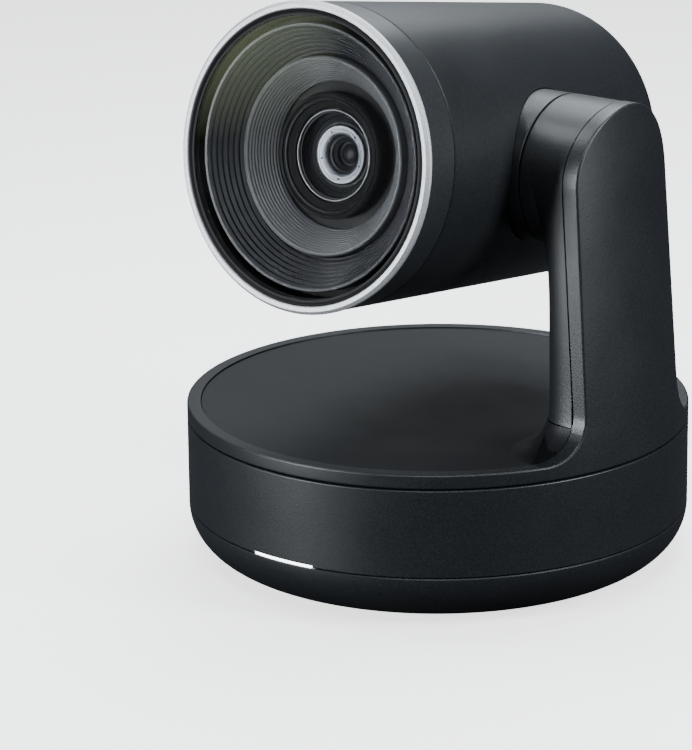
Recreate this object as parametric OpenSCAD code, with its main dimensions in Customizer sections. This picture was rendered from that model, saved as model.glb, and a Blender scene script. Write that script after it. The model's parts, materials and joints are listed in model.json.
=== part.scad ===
// Pan, tilt and zoom conference camera: a round base, a turntable with a leaning
// side arm, and a barrel-shaped head that tilts on the arm's hub.
// Origin: centre of the foot ring's underside. +Z up, the lens looks along -Y,
// the arm stands on the +X side.

/* [Base] */
// Radius of the base and of the turntable rim
base_r = 76; // [74:0.5:91]
// Height of the seam between the bowl and the side band
bowl_h = 16.9; // [15:0.1:22]
// Height of the top edge of the side band
band_top = 43.8; // [42:0.1:56]
// Wall of the plastic casings
wall = 2.4; // [1.8:0.1:3]
// How far the bowl draws in from the band to the foot
bowl_inset = 17; // [12:0.5:20]

/* [Turntable] */
// Height of the turntable rim
rim_h = 4.3; // [4:0.1:6]
// Gap between the turntable and the side band
turn_gap = 0.4; // [0.3:0.05:0.8]
// Width of the flat lip round the deck
lip_w = 4.2; // [3:0.1:6]
// Depth of the deck below the lip
deck_drop = 0.4; // [0.2:0.1:1]
// Thickness of the deck
deck_t = 1.6; // [1.2:0.1:2.4]

/* [Arm] */
// Height of the tilt axis above the table
tilt_h = 126.3; // [126.3:0.1:151.6]
// Inward lean of the arm's outer skin, per unit of height
arm_lean = 0.07; // [0.03:0.01:0.1]
// Depth of the arm's outer shell at its edge
shell_depth = 4.8; // [4:0.1:6]
// Radius of the tilt hub
hub_r = 22.5; // [20:0.5:26]
// Extra half width of the arm at its foot, over the hub's radius
arm_flare = 1.1; // [0:0.1:4]
// Radius of the concave corners where the arm meets the rim
arm_fillet = 13; // [8:0.5:16]
// Inner face of the arm, measured from the pan axis
arm_inner_x = 53.5; // [52:0.5:56]
// Height of the arm cover's lower edge above the rim
arm_seat = 8.6; // [6:0.2:14]

/* [Head] */
// Radius of the silver front ring
ring_r = 45; // [40:0.5:46]
// Radius of the head behind the collar
head_r = 44.4; // [39:0.1:45]
// Radius of the head at its back
head_back_r = 41.3; // [36:0.1:43]
// Distance from the tilt axis to the front
head_front = 64.4; // [58:0.1:68]
// Distance from the tilt axis to the back
head_rear = 64.9; // [56:0.1:72]
// Rounding of the back edge
back_round = 13.9; // [8:0.1:18]
// Length of the front collar with its ring
collar_len = 13.6; // [10:0.1:18]
// Upward tilt of the head at rest, in degrees
rest_tilt = 8.5; // [0:0.5:20]
// Gap between the head's hub and the arm's hub
hub_gap = 0.5; // [0.4:0.05:1]
// Outer end of the head's hub, measured from the pan axis
hub_face_x = 45.8; // [45.8:0.1:48]

/* [Optics] */
// Inner radius of the silver front ring
ring_in_r = 42.6; // [37:0.1:43.5]
// Thickness of the cover glass
glass_t = 1.2; // [1:0.1:2]
// Outer radius of the coarse ribbed baffle
baffle_r = 37.7; // [33:0.1:39]
// Number of coarse ribs
coarse_ribs = 7; // [5:1:9]
// Outer radius of the fine ribbed baffle
fine_r = 28.4; // [25:0.1:29]
// Number of fine ribs
fine_ribs = 9; // [6:1:12]
// Radius of the lens nose
nose_r = 18.4; // [16:0.1:20]
// Radius of the silver aperture ring
aperture_r = 7.9; // [6:0.1:9]
// Travel of the zoom group
zoom_travel = 10; // [4:1:12]
// Travel of the focus group to each side of rest
focus_travel = 2; // [1:0.5:3]

/* [Drives] */
// Teeth on the pan gear
pan_teeth = 60; // [56:1:64]
// Module of the pan gear pair
pan_module = 1; // [0.9:0.1:1.1]
// Teeth on the tilt gear
tilt_teeth = 40; // [36:1:42]
// Module of the tilt gear pair
tilt_module = 0.8; // [0.7:0.1:0.8]
// Teeth on both motor pinions
pinion_teeth = 15; // [14:1:18]
// Radius of the tilt shaft
shaft_r = 5; // [4:0.5:6]
// Radius of the fixed pan post
post_r = 11; // [9:0.2:13.2]
// Radial clearance of the shafts in their bushes
run_clear = 0.05; // [0.02:0.01:0.1]

/* [Ports] */
// Width of the rear port niche
niche_w = 52; // [48:1:60]
// Height of the rear port niche
niche_h = 17; // [15:0.5:20]
// Radius of the tripod thread's wall
tripod_r = 2.55; // [2.5:0.05:3]
// Length of the tripod thread
tripod_len = 8; // [6:0.5:10]
// Travel of the pairing button
button_travel = 1; // [0.5:0.1:1.2]

/* [Hidden] */
$fn = 96;
e = 0.01;
// how far a concave corner's arc runs on below the face that it meets
dip = 0.15;
fit = 0.1;
// long enough to cut through any piece
far = 200;

foot_t = 1.2;
foot_in_r = 50;
foot_w = 6;
foot_groove = 0.4;
floor_z = foot_t;
// the four screws that hold the base together
boss_a = [45:90:359];
boss_x = 46;
boss_r = 4;
bolt_r = 1.45;
insert_r = 6.5;
insert_flange_r = 9;
turn_z = band_top + turn_gap;
rim_z = turn_z + rim_h;
deck_z = rim_z - deck_drop;
deck_r = base_r - lip_w;
frame_t = 1.8;
chassis_z = 20;
chassis_t = 2;
gear_z = chassis_z + chassis_t + 2;
gear_t = 5;
plate_x = arm_inner_x + wall + 0.2;
plate_t = 1.5;
tilt_gear_x = plate_x + plate_t + 0.5;
tilt_gear_t = 3;
tilt_motor_x = tilt_gear_x + tilt_gear_t + 0.4;
tilt_motor_r = 9;
arm_cover_x = hub_face_x + hub_gap;
arm_top = tilt_h + hub_r + 1;
seam_z = rim_z + arm_seat;
seam_gap = 0.3;
niche_z = (bowl_h + band_top) / 2;
panel_t = 2;
// sockets from left to right: power, data, video, button, lock
port_x = [-19, -6.5, 7, 15.5, 21.5];
jack_r = 5;
plug_half_w = 2.9;
plug_r = 1.75;
video_w = 10;
video_h = 4;
button_r = 2;
lock_w = 3.4;
lock_h = 7.4;
panel_y = sqrt(pow(base_r, 2) - pow(niche_w / 2, 2)) - 0.4;
port_depth = 9;
collar_y = collar_len - head_front;
ring_t = 1.8;
glass_y = 0.9 - head_front;
collar_in_r = head_r - wall - 1.6;
optic_y = glass_y + glass_t;
cell_r = 13;
barrel_in_r = cell_r + 0.1;
barrel_out_r = barrel_in_r + 2;
nose_y = optic_y + 12;
barrel_y = nose_y + 5;
barrel_len = 58;
sensor_y = barrel_y + 2 + barrel_len;
coarse_y = optic_y + 1.2;
coarse_in_r = 29.7;
coarse_deep = 9;
fine_y = coarse_y + 6;
fine_in_r = 21.6;
fine_deep = 7.4;
zoom_y = barrel_y + 17;
focus_y = zoom_y + 18;
cell_len = 8;
head_bolt_r = 1.15;
motor_r = 14;
pan_shaft_r = 1.5;
tilt_shaft_r = 1;
motor_len = 10;
pinion_a = 180;
addendum = 0.8;
backlash = 0.12;
pan_reach = (pan_teeth + pinion_teeth) / 2 * pan_module;
tilt_reach = (tilt_teeth + pinion_teeth) / 2 * tilt_module;
bush_t = 2;
standoff_a = [0, 80, 135, 285];
light_half_angle = 8;
light_h = 1.3;

function rim_radius(z) = base_r - arm_lean * max(0, z - rim_z);
function inner_radius(z) =
    deck_r - (deck_r - rim_radius(arm_top) + shell_depth) * (z - rim_z) / (arm_top - rim_z);
function involute(a) = tan(a) * 180 / PI - a;
function half_tooth(r, m, n) =
    90 / n - backlash / (m * n) * 180 / PI
    + involute(20) - involute(acos(min(1, m * n / 2 * cos(20) / r)));
function tooth_radius(k, m, n) =
    let (low = max(m * n / 2 * cos(20), m * n / 2 - m), high = m * n / 2 + addendum * m)
    low + (high - low) * k / 4;
function root_point(i, s, m, n) =
    polar(m * n / 2 - 1.1 * m, 360 / n * i + s * half_tooth(tooth_radius(0, m, n), m, n));
function gear_points(m, n) = [
    for (i = [0:n - 1]) each [
        for (s = [-1, 1]) each concat(
            s < 0 ? [root_point(i, -1, m, n)] : [],
            [for (k = [0:4])
                let (r = tooth_radius(s < 0 ? k : 4 - k, m, n))
                polar(r, 360 / n * i + s * half_tooth(r, m, n))],
            s > 0 ? [root_point(i, 1, m, n)] : []
        )
    ]
];
function polar(r, a) = [r * cos(a), r * sin(a)];

module ring(r_out, r_in, h) {
    difference() {
        cylinder(r = r_out, h = h);
        translate([0, 0, -1]) cylinder(r = r_in, h = h + 2);
    }
}
module spur_gear(m, n, h, bore) {
    difference() {
        linear_extrude(h) polygon(gear_points(m, n));
        if (bore > 0) translate([0, 0, -1]) cylinder(r = bore, h = h + 2);
    }
}
// Along +X, starting at x
module along_x(x, y = 0, z = 0) { translate([x, y, z]) rotate([0, 90, 0]) children(); }
// Along +Y, starting at y
module along_y(y, x = 0, z = 0) { translate([x, y, z]) rotate([-90, 0, 0]) children(); }
// Puts the level head at its place on the tilt axis, with its rest tilt
module head_place() { translate([0, 0, tilt_h]) rotate([-rest_tilt, 0, 0]) children(); }
module screw(r, len) {
    cylinder(r = r / 2, h = len);
    difference() {
        translate([0, 0, len]) cylinder(r = r, h = r * 0.7);
        translate([0, 0, len + r * 0.35]) cylinder(r = r * 0.5, h = r, $fn = 6);
    }
}

// Once on each of the base's screw bosses, at height z
module at_bosses(z) { for (a = boss_a) rotate(a) translate([boss_x, 0, z]) children(); }

module base_bowl() {
    color("#2c2e31")
    difference() {
        union() {
            rotate_extrude() bowl_shell_profile();
            at_bosses(floor_z + wall - e) cylinder(r = boss_r, h = chassis_z - floor_z - wall);
        }
        translate([0, 0, -1]) cylinder(r = insert_r + fit, h = 20);
        at_bosses(-1) cylinder(r = bolt_r + 0.15, h = chassis_z + 4);
        at_bosses(-1) cylinder(r = 2 * bolt_r + 0.3, h = floor_z + 3.6);
        translate([0, 0, floor_z - 1]) ring(foot_in_r + foot_w, foot_in_r, 1 + foot_groove);
    }
}
// Quarter-round wall drawn with two arcs of one circle each
module bowl_shell_profile() {
    h = bowl_h - floor_z;
    difference() {
        bowl_solid(bowl_inset, h, 0);
        bowl_solid(bowl_inset, h, wall);
    }
}
module bowl_solid(w, h, t) {
    steps = 12;
    polygon(concat(
        [[0, floor_z + t], [base_r - w, floor_z + t]],
        [for (i = [1:steps - 1]) [base_r - w + (w - t) * sin(90 * i / steps),
            floor_z + h - (h - t) * cos(90 * i / steps)]],
        [[base_r - t, bowl_h + (t > 0 ? 1 : 0)], [0, bowl_h + (t > 0 ? 1 : 0)]]
    ));
}
module niche_cut(w, h, y) {
    translate([-w / 2, y, niche_z - h / 2]) cube([w, base_r, h]);
}
module base_band() {
    color("#2b2d30")
    difference() {
        union() {
            translate([0, 0, bowl_h]) ring(base_r, base_r - wall, band_top - bowl_h);
            // niche frame: a box behind the rear opening, open towards +Y
            intersection() {
                translate([0, 0, bowl_h]) cylinder(r = base_r, h = band_top - bowl_h);
                difference() {
                    niche_cut(niche_w + 2 * wall, niche_h + 2 * wall, panel_y - panel_t);
                    niche_cut(niche_w, niche_h, panel_y - panel_t - 1);
                }
            }
        }
        niche_cut(niche_w, niche_h, 0);
        rotate(-90 - light_half_angle - 0.3) translate([0, 0, bowl_h - e])
            rotate_extrude(angle = 2 * light_half_angle + 0.6)
            translate([base_r - wall - fit, 0]) square([wall + 2, light_h + e]);
        translate([0, 0, bowl_h - e]) ring(base_r + 1, base_r - 0.6, 0.35);
    }
}
module foot_ring() {
    color("#17181a") ring(foot_in_r + foot_w, foot_in_r, floor_z + foot_groove);
}
module tripod_insert() {
    color("#b08d57")
    difference() {
        union() {
            translate([0, 0, floor_z]) cylinder(r = insert_r, h = tripod_len + 1.5);
            translate([0, 0, floor_z + wall]) cylinder(r = insert_flange_r, h = 1.5);
        }
        translate([0, 0, floor_z - 1]) cylinder(r = tripod_r, h = tripod_len + 1);
    }
}
module status_light() {
    color("#f4f7fb")
    rotate(-90 - light_half_angle) translate([0, 0, bowl_h])
        rotate_extrude(angle = 2 * light_half_angle)
        translate([base_r - wall, 0]) square([wall, light_h - fit]);
}
module port_panel() {
    color("#202225")
    difference() {
        translate([-niche_w / 2 + fit, panel_y - panel_t, niche_z - niche_h / 2 + fit])
            cube([niche_w - 2 * fit, panel_t, niche_h - 2 * fit]);
        along_y(panel_y - 10, port_x[0], niche_z) cylinder(r = jack_r + fit, h = 20);
        plug_slot(panel_y - 10, 20, plug_r + fit);
        port_block(2, panel_y - 10, 20, video_w + 2 * fit, video_h + 2 * fit);
        along_y(panel_y - 10, port_x[3], niche_z) cylinder(r = button_r + 0.15, h = 20);
        port_block(4, panel_y - 10, 20, lock_w, lock_h);
    }
}
// Block of width w and height h on a port's centre, from y on
module port_block(i, y, len, w, h) {
    translate([port_x[i] - w / 2, y, niche_z - h / 2]) cube([w, len, h]);
}
// Round-ended bar of the data socket
module plug_slot(y, len, r) {
    for (s = [-1, 1]) along_y(y, port_x[1] + s * plug_half_w, niche_z) cylinder(r = r, h = len);
    port_block(1, y, len, 2 * plug_half_w, 2 * r);
}
module power_jack() {
    color("#131415")
    difference() {
        union() {
            along_y(panel_y - port_depth, port_x[0], niche_z) cylinder(r = jack_r, h = port_depth);
            port_block(0, panel_y - panel_t - port_depth, port_depth, 11, 13);
        }
        along_y(panel_y - port_depth + 1, port_x[0], niche_z) ring(3.2, 1, port_depth + 1);
    }
}
module usb_port() {
    color("silver")
    difference() {
        plug_slot(panel_y - port_depth, port_depth, plug_r);
        difference() {
            plug_slot(panel_y - port_depth + 1.5, port_depth, plug_r - 0.4);
            port_block(1, panel_y - port_depth, port_depth - 1, 6, 0.7);
        }
    }
}
module video_port() {
    color("silver")
    difference() {
        port_block(2, panel_y - port_depth, port_depth, video_w, video_h);
        difference() {
            port_block(2, panel_y - port_depth + 1.5, port_depth, video_w - 0.8, video_h - 0.8);
            port_block(2, panel_y - port_depth, port_depth - 1, video_w - 2.8, 1);
        }
    }
}
module lock_slot() {
    color("silver")
    difference() {
        port_block(4, panel_y - panel_t - 1.2, 1.2, lock_w + 1.8, lock_h + 1.8);
        port_block(4, panel_y - 10, 20, lock_w - 0.6, lock_h - 0.6);
    }
}
module pair_button() {
    color("#3a3d41") {
        along_y(panel_y - panel_t - 1, port_x[3], niche_z)
            cylinder(r = button_r, h = panel_t + 1 + button_travel + 0.4);
        along_y(panel_y - panel_t - 1.8, port_x[3], niche_z) cylinder(r = button_r + 0.8, h = 0.8 + e);
    }
}
module base_chassis() {
    color("#9aa0a6")
    difference() {
        union() {
            translate([0, 0, chassis_z]) cylinder(r = base_r - wall - 12, h = chassis_t);
            for (a = standoff_a) rotate(a) translate([32, 0, chassis_z - 6]) cylinder(r = 3, h = 6 + e);
        }
        at_bosses(0) cylinder(r = bolt_r + 0.25, h = far);
        translate([0, 0, chassis_z - 1]) cylinder(r = post_r - 3, h = 10);
        rotate(pinion_a) translate([pan_reach, 0, chassis_z - 1]) cylinder(r = 5, h = 10);
        translate([-niche_w / 2 - 1, panel_y - panel_t - port_depth - 3, 0]) cube([niche_w + 2, 60, 60]);
    }
}
module main_board() {
    color("#1d5a3a")
    difference() {
        union() {
            intersection() {
                translate([0, 0, chassis_z - 7.6]) cylinder(r = 44, h = 1.6);
                translate([-50, -38, 0]) cube([100, 82, 60]);
            }
            for (p = [[18, -14, 9, 2], [14, 14, 12, 1.6], [-8, 22, 7, 2.4], [26, 6, 5, 1.2]])
                translate([p[0] - p[2] / 2, p[1] - p[2] / 2, chassis_z - 6 - e]) cube([p[2], p[2], p[3]]);
        }
        rotate(pinion_a) translate([pan_reach, 0, 0]) cylinder(r = motor_r + 1.5, h = 60);
        at_bosses(0) cylinder(r = boss_r + 1, h = far);
    }
}
module ballast_plate() {
    color("#5f6366")
    difference() {
        translate([0, 0, floor_z + wall + fit]) cylinder(r = base_r - bowl_inset - 4, h = 5);
        cylinder(r = insert_flange_r + 0.5, h = far);
        at_bosses(0) cylinder(r = boss_r + 0.6, h = far);
    }
}
module pan_post() {
    color("#c3c7cb")
    difference() {
        union() {
            translate([0, 0, chassis_z + chassis_t]) cylinder(r = post_r + 4, h = 1.6);
            translate([0, 0, chassis_z + chassis_t]) cylinder(r = post_r, h = turn_z - chassis_z - chassis_t);
            translate([0, 0, turn_z - e]) cylinder(r = post_r - 1, h = 1.3);
        }
        translate([0, 0, chassis_z]) cylinder(r = post_r - 3, h = 60);
    }
}
module pan_motor() {
    color("#6d7174")
    rotate(pinion_a) translate([pan_reach, 0, chassis_z - motor_len]) {
        difference() {
            union() {
                cylinder(r = motor_r, h = motor_len);
                for (s = [-1, 1]) translate([0, s * 17, motor_len - 1]) cylinder(r = 3.5, h = 1);
                translate([-3.5, -17, motor_len - 1]) cube([7, 34, 1]);
            }
            translate([0, 0, motor_len - 6]) cylinder(r = pan_shaft_r + run_clear, h = 7);
        }
    }
}
module pan_pinion() {
    color("#d8c27a")
    rotate(pinion_a) translate([pan_reach, 0, 0]) {
        rotate(180 + 180 / pinion_teeth) translate([0, 0, gear_z - 0.5])
            spur_gear(pan_module, pinion_teeth, gear_t + 1, 0);
        translate([0, 0, chassis_z - 5]) cylinder(r = pan_shaft_r, h = gear_z + gear_t + 1 - chassis_z + 5);
    }
}
module base_screws() {
    color("#8b9095")
    at_bosses(floor_z + 2.55) rotate([180, 0, 0]) translate([0, 0, -14]) screw(2 * bolt_r, 14);
}

// Face view of the arm and its foot, y across and z up
module arm_outline(inset) {
    half = hub_r + arm_flare - inset;
    translate([0, tilt_h]) circle(r = hub_r - inset);
    polygon([[-hub_r + inset, tilt_h], [-half, seam_z], [-half, turn_z], [half, turn_z], [half, seam_z],
        [hub_r - inset, tilt_h]]);
    difference() {
        translate([-half - arm_fillet, turn_z])
            square([2 * (half + arm_fillet), rim_z - turn_z + arm_fillet - dip]);
        for (s = [-1, 1]) translate([s * (half + arm_fillet), rim_z + arm_fillet - dip]) circle(r = arm_fillet);
    }
}
module outline_block(inset, x0, x1) {
    translate([x0, 0, 0]) rotate([90, 0, 90]) linear_extrude(x1 - x0) arm_outline(inset);
}
// Solid cone under the arm's outer skin, a depth below it, or inside the shell's inner face
module under_skin(depth, z0, z1) {
    translate([0, 0, z0]) cylinder(r1 = rim_radius(z0) - depth, r2 = rim_radius(z1) - depth, h = z1 - z0);
}
module inside_shell(z0, z1) {
    translate([0, 0, z0]) cylinder(r1 = inner_radius(z0) - fit, r2 = inner_radius(z1) - fit, h = z1 - z0);
}
module turret_shell() {
    color("#303236")
    difference() {
        rotate_extrude() polygon([
            [deck_r, turn_z], [base_r, turn_z], [base_r, rim_z], [rim_radius(arm_top), arm_top],
            [inner_radius(arm_top), arm_top], [deck_r, rim_z]
        ]);
        difference() {
            translate([0, 0, rim_z]) cylinder(r = base_r + 4, h = arm_top);
            outline_block(0, 30, base_r + 5);
        }
        intersection() {
            under_skin(wall, rim_z + 1, arm_top + 1);
            outline_block(2.2, 30, base_r);
        }
    }
}
// Raised foot that carries the arm cover, with a concave inner side
module deck_foot() {
    r = arm_fillet - 3;
    top = seam_z - seam_gap;
    intersection() {
        difference() {
            translate([arm_inner_x - r, -far / 2, deck_z - deck_t])
                cube([base_r, far, top - deck_z + deck_t]);
            translate([arm_inner_x - r, far / 2, deck_z + r - dip]) rotate([90, 0, 0])
                cylinder(r = r, h = far);
        }
        translate([0, 0, deck_z - rim_z]) outline_block(0.4, 20, base_r);
        cylinder(r = deck_r - fit, h = far);
        inside_shell(deck_z - deck_t - 1, top + 1);
    }
}
module turret_disc() {
    color("#2d2f32")
    difference() {
        union() {
            translate([0, 0, deck_z - deck_t]) cylinder(r = deck_r - fit, h = deck_t);
            deck_foot();
        }
        // hollow under the raised foot
        translate([arm_inner_x + wall, -hub_r + 1, deck_z - deck_t - 1]) cube([base_r, 2 * hub_r - 2, 60]);
    }
}
module turret_frame() {
    color("#a4a9ae")
    difference() {
        translate([0, 0, turn_z + fit]) cylinder(r = deck_r - 4, h = frame_t);
        translate([0, 0, turn_z - 1]) cylinder(r = post_r + bush_t, h = 10);
        for (a = [30:60:359]) rotate(a) translate([48, 0, turn_z - 1]) cylinder(r = 8, h = 10);
    }
}
module pan_hub() {
    color("#b9bdc1")
    difference() {
        union() {
            translate([0, 0, gear_z]) cylinder(r = post_r + bush_t + 3, h = turn_z + fit - gear_z);
            translate([0, 0, turn_z + fit - 2]) cylinder(r = post_r + bush_t + 9, h = 2);
        }
        translate([0, 0, gear_z - 1]) cylinder(r = post_r + bush_t, h = 40);
    }
}
module pan_bushes() {
    color("#e3e0d4")
    for (z = [gear_z, turn_z + fit - 6]) translate([0, 0, z]) ring(post_r + bush_t, post_r + run_clear, 6);
}
module pan_gear() {
    color("#e9e6da")
    rotate(pinion_a) translate([0, 0, gear_z]) spur_gear(pan_module, pan_teeth, gear_t, post_r + bush_t + 3);
}
module pan_retainer() {
    color("#d0d3d6") translate([0, 0, turn_z + 0.3]) ring(post_r + bush_t - fit, post_r - 1 + run_clear, 0.8);
}
module arm_inner_cover() {
    color("#34363a")
    difference() {
        union() {
            difference() {
                intersection() {
                    outline_block(0.3, arm_inner_x, base_r);
                    inside_shell(seam_z, arm_top);
                }
                intersection() {
                    outline_block(2.4, arm_inner_x + wall, base_r);
                    translate([0, -far / 2, seam_z - 1]) cube([far, far, far]);
                }
            }
            along_x(arm_cover_x, 0, tilt_h) cylinder(r = hub_r - 0.3, h = arm_inner_x - arm_cover_x + 1);
        }
        along_x(arm_cover_x + wall, 0, tilt_h) cylinder(r = hub_r - 2.4, h = 40);
        along_x(arm_cover_x - 1, 0, tilt_h) cylinder(r = shaft_r + 4.2, h = 40);
    }
}
module arm_frame() {
    color("#8f9499")
    difference() {
        union() {
            intersection() {
                outline_block(6, plate_x, plate_x + plate_t);
                translate([0, -hub_r + 6, turn_z + fit + frame_t]) cube([far, 2 * hub_r - 12, far]);
            }
            translate([plate_x, -14, turn_z + fit + frame_t]) cube([plate_t + 6, 28, 1.5]);
        }
        along_x(plate_x - 5, 0, tilt_h) cylinder(r = shaft_r + bush_t, h = 20);
        along_x(plate_x - 5, 0, tilt_h - tilt_reach) cylinder(r = tilt_shaft_r + 0.5, h = 20);
        along_x(plate_x - 5, 0, tilt_h - tilt_reach - 26) cylinder(r = 8, h = 20);
        for (s = [-1, 1]) translate([plate_x + plate_t + 3, s * 10, 0]) cylinder(r = 1.3, h = 80);
    }
}
module arm_cable() {
    color("#c98a2b")
    translate([plate_x + plate_t + 0.05, 4, turn_z + 8])
        cube([0.15, 10, tilt_h - tilt_reach - 6 - turn_z - 8]);
}
module tilt_motor() {
    color("#6d7174")
    difference() {
        union() {
            along_x(tilt_motor_x, 0, tilt_h - tilt_reach) cylinder(r = tilt_motor_r, h = 4.2);
            for (s = [-1, 1]) along_x(plate_x + plate_t, s * 12, tilt_h - tilt_reach - 2)
                cylinder(r = 1.6, h = tilt_motor_x - plate_x - plate_t + 1);
            translate([tilt_motor_x, -12, tilt_h - tilt_reach - 3.6]) cube([1, 24, 3.2]);
        }
        along_x(tilt_motor_x - 1, 0, tilt_h - tilt_reach) cylinder(r = tilt_shaft_r + run_clear, h = 4);
    }
}
module tilt_pinion() {
    color("#d8c27a") {
        along_x(tilt_gear_x, 0, tilt_h - tilt_reach) rotate(180 + 180 / pinion_teeth)
            spur_gear(tilt_module, pinion_teeth, tilt_gear_t, 0);
        along_x(plate_x, 0, tilt_h - tilt_reach) cylinder(r = tilt_shaft_r, h = tilt_motor_x - plate_x + 2);
    }
}
module tilt_bush() {
    color("#e3e0d4")
    difference() {
        union() {
            along_x(plate_x - 3, 0, tilt_h) cylinder(r = shaft_r + bush_t, h = plate_t + 3);
            along_x(plate_x - 3, 0, tilt_h) cylinder(r = shaft_r + bush_t + 1.5, h = 3);
        }
        along_x(plate_x - 5, 0, tilt_h) cylinder(r = shaft_r + run_clear, h = 20);
    }
}
module arm_screws() {
    color("#8b9095")
    for (s = [-1, 1]) translate([plate_x + plate_t + 3, s * 10, turn_z + fit + frame_t]) screw(2.4, 1.5);
}

// Half section of the closed barrel, x = radius, y = distance along the head
module head_profile(t) {
    steps = 10;
    br = back_round - t;
    polygon(concat(
        [[0, collar_y - (t > 0 ? 1 : 0)], [head_r - t, collar_y - (t > 0 ? 1 : 0)],
         [head_back_r - t, head_rear - back_round]],
        [for (i = [1:steps]) [head_back_r - back_round + br * cos(90 * i / steps),
            head_rear - back_round + br * sin(90 * i / steps)]],
        [[0, head_rear - t]]
    ));
}
module spin_y() { rotate([-90, 0, 0]) rotate_extrude() children(); }
module head_barrel() {
    color("#2e3034") head_place()
    difference() {
        union() {
            spin_y() head_profile(0);
            along_x(head_r - 12, 0, 0) cylinder(r = hub_r, h = hub_face_x - head_r + 12);
        }
        spin_y() head_profile(wall);
        along_x(head_r - 20, 0, 0) cylinder(r = hub_r - wall, h = hub_face_x - wall - head_r + 20);
        along_x(0, 0, 0) cylinder(r = shaft_r + fit, h = 80);
    }
}
module head_collar() {
    color("#2a2c2f") head_place()
    spin_y() polygon([
        [ring_r - 0.2, ring_t - head_front], [head_r, collar_y - seam_gap],
        [head_r - wall - 2 * fit, collar_y - seam_gap], [head_r - wall - 2 * fit, collar_y + 3],
        [collar_in_r, collar_y + 3], [collar_in_r, optic_y], [ring_in_r, optic_y],
        [ring_in_r, ring_t - head_front]
    ]);
}
module front_ring() {
    color("#c9cbcd") head_place()
    spin_y() polygon([
        [ring_in_r, 0.5 - head_front], [ring_in_r + 0.4, -head_front], [ring_r - 1, -head_front],
        [ring_r, 0.9 - head_front], [ring_r, ring_t - head_front], [ring_in_r, ring_t - head_front]
    ]);
}
module glass_gasket() {
    color("#0e0f10") head_place()
    spin_y() translate([ring_in_r - 1.2, glass_y - 0.2]) square([1.2 - 0.02, glass_t + 0.2]);
}
module front_glass() {
    color([0.75, 0.8, 0.85, 0.35]) head_place()
    along_y(glass_y) cylinder(r = ring_in_r - 1.3, h = glass_t);
}
// Stepped cone: each rib is a flat land and a short riser
function rib_points(r0, r1, y0, y1, n) = [
    for (i = [0:n - 1]) each [
        [r0 + (r1 - r0) * i / n, y0 + (y1 - y0) * i / n],
        [r0 + (r1 - r0) * (i + 0.75) / n, y0 + (y1 - y0) * (i + 0.15) / n],
        [r0 + (r1 - r0) * (i + 1) / n, y0 + (y1 - y0) * (i + 0.15) / n]
    ]
];
module ribbed_cone(r0, r1, y0, y1, n, t) {
    spin_y() polygon(concat(rib_points(r0, r1, y0, y1, n), [[r1, y1], [r1, y1 + t], [r0, y1 + t]]));
}
module coarse_baffle() {
    color("#2a2c2e") head_place() {
        ribbed_cone(baffle_r, coarse_in_r, coarse_y, coarse_y + coarse_deep, coarse_ribs, 1.5);
        spin_y() translate([baffle_r - e, coarse_y + coarse_deep]) square([collar_in_r - baffle_r, 1.5]);
    }
}
module fine_baffle() {
    color("#26282a") head_place() {
        ribbed_cone(fine_r, fine_in_r, fine_y, fine_y + fine_deep, fine_ribs, 1.2);
    }
}
module lens_nose() {
    color("#1c1d1f") head_place()
    spin_y() polygon([
        [nose_r - 1.6, nose_y], [nose_r, nose_y + 0.8], [nose_r, fine_y + fine_deep + 1.2],
        [fine_in_r + 3, fine_y + fine_deep + 1.2],
        [fine_in_r + 3, barrel_y + 2], [aperture_r + 6, barrel_y + 2], [aperture_r + 4.6, nose_y + 3.2],
        [nose_r - 3, nose_y + 2.4]
    ]);
}
module front_lens() {
    color([0.3, 0.35, 0.45, 0.5]) head_place()
    intersection() {
        along_y(nose_y + 2, 0, 0) cylinder(r = aperture_r + 4.4, h = 5);
        translate([0, nose_y + 2.4 + 40, 0]) sphere(r = 40, $fn = 128);
    }
}
module aperture_ring() {
    color("#b9bcbf") head_place()
    spin_y() translate([aperture_r - 2.2, nose_y + 7.2]) square([2.2 + 5, 1.2]);
}
module lens_barrel() {
    color("#3c3f42") head_place() along_y(barrel_y + 2 + e) {
        ring(barrel_out_r, barrel_in_r, barrel_len);
        ring(fine_in_r + 3, barrel_in_r, 2);
    }
}
module cell(y) {
    head_place() along_y(y) ring(cell_r, cell_r - 3, cell_len);
}
module element(y) {
    head_place() along_y(y + 2) cylinder(r = cell_r - 3, h = cell_len - 4);
}
module zoom_cell() { color("#55585b") cell(zoom_y); }
module zoom_lens() { color([0.7, 0.75, 0.85, 0.5]) element(zoom_y); }
module focus_cell() { color("#4a4d50") cell(focus_y); }
module focus_lens() { color([0.7, 0.75, 0.85, 0.5]) element(focus_y); }
module sensor_board() {
    color("#1d5a3a") head_place() translate([-16, sensor_y + e, -16]) cube([32, 1.4, 32]);
}
module image_sensor() {
    color("#1a2430") head_place() translate([-4.5, sensor_y - 1.6, -3.5]) cube([9, 1.6, 7]);
}
module heat_sink() {
    color("#a8adb1") head_place() {
        translate([-15, sensor_y + 1.4 + 2 * e, -15]) cube([30, 1.5, 30]);
        for (i = [-3:3]) translate([i * 4.5 - 0.6, sensor_y + 2.9, -15]) cube([1.2, 5, 30]);
    }
}
module head_chassis() {
    color("#8f9499") head_place()
    difference() {
        union() {
            translate([-24, -14, -24]) cube([48, 28, 48]);
            translate([23, -10, -10]) cube([hub_face_x - wall - 23 - 2, 20, 20]);
        }
        translate([-22, -12, -22]) cube([44, 30, 44]);
        along_y(-20) cylinder(r = barrel_out_r, h = 20);
        along_x(22, 0, 0) cylinder(r = shaft_r - 1.5, h = 30);
        for (s = [-1, 1]) along_x(-30, 0, s * 16) cylinder(r = head_bolt_r + 0.05, h = 20);
    }
}
module head_board() {
    color("#1d5a3a") head_place() translate([-21, -12, 24]) cube([42, 24, 1.4]);
}
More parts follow.
